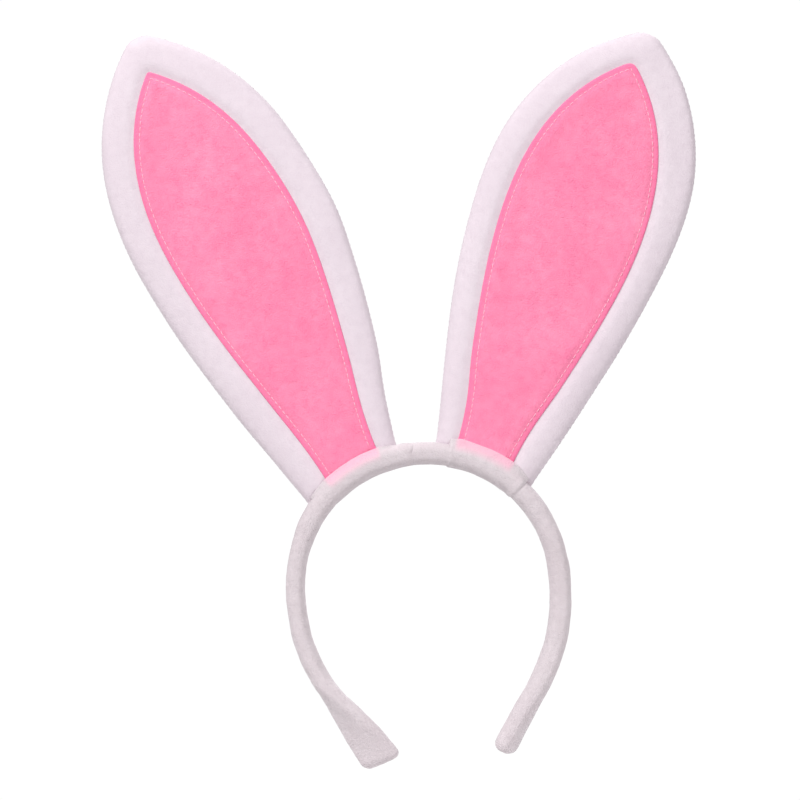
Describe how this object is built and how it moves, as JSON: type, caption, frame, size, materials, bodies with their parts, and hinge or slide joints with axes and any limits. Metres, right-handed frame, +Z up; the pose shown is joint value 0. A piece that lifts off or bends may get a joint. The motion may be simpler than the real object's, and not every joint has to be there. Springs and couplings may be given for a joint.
{
  "type": "rabbit ears headband",
  "caption": "Fabric-covered hairband with a pair of upright stuffed rabbit ears, white velour with stitched pink felt insides, on a springy padded hoop.",
  "frame": {"origin": "centre of the hoop's inner face, which is where the head is", "axes": "+Z up as worn, +Y from the front to the back along the hoop's axis, so that the pink sides face -Y; +X to the right as seen from the front"},
  "size_m": [0.295, 0.021, 0.3782],
  "materials": {
    "white_velour": "short-pile white velour with a soft sheen",
    "pink_felt": "napped pink velour felt, slightly mottled",
    "foam": "open-cell foam",
    "strip_plastic": "moulded, hidden inside the band",
    "white_thread": "spun sewing thread",
    "pink_thread": "spun pale pink sewing thread"
  },
  "bodies": {
    "crown": {"spring_strip": "strip_plastic", "crown_padding": "foam", "crown_cover": "white_velour", "crown_seam": "white_thread", "left_wrap": "white_velour", "right_wrap": "white_velour", "left_wrap_stitches": "white_thread", "right_wrap_stitches": "white_thread"},
    "left_arm": {"left_arm_padding": "foam", "left_arm_cover": "white_velour", "left_arm_seam": "white_thread", "left_end_fold": "white_velour"},
    "right_arm": {"right_arm_padding": "foam", "right_arm_cover": "white_velour", "right_arm_seam": "white_thread", "right_end_fold": "white_velour"},
    "left_ear": {"left_ear_core": "foam", "left_ear_front": "white_velour", "left_ear_back": "white_velour", "left_ear_pink": "pink_felt", "left_ear_topstitch": "pink_thread", "left_ear_rim_thread": "white_thread"},
    "right_ear": {"right_ear_core": "foam", "right_ear_front": "white_velour", "right_ear_back": "white_velour", "right_ear_pink": "pink_felt", "right_ear_topstitch": "pink_thread", "right_ear_rim_thread": "white_thread"}
  },
  "joints": [
    {"name": "left_arm_flex", "type": "hinge", "parent": "crown", "child": "left_arm", "pos_m": [-0.05592, 0, 0.04692], "axis": [0, 1, 0], "range_deg": [0, 12], "stiffness_Nm_per_rad": 3, "deforming": ["spring_strip"]},
    {"name": "right_arm_flex", "type": "hinge", "parent": "crown", "child": "right_arm", "pos_m": [0.05592, 0, 0.04692], "axis": [0, -1, 0], "range_deg": [0, 12], "stiffness_Nm_per_rad": 3, "deforming": ["spring_strip"]},
    {"name": "left_ear_tilt", "type": "hinge", "parent": "crown", "child": "left_ear", "pos_m": [-0.03751, 0, 0.07046], "axis": [0.8746, 0, 0.4848], "range_deg": [-50, 50], "stiffness_Nm_per_rad": 0.4},
    {"name": "right_ear_tilt", "type": "hinge", "parent": "crown", "child": "right_ear", "pos_m": [0.03817, 0, 0.07017], "axis": [0.8746, 0, -0.4848], "range_deg": [-50, 50], "stiffness_Nm_per_rad": 0.4}
  ]
}
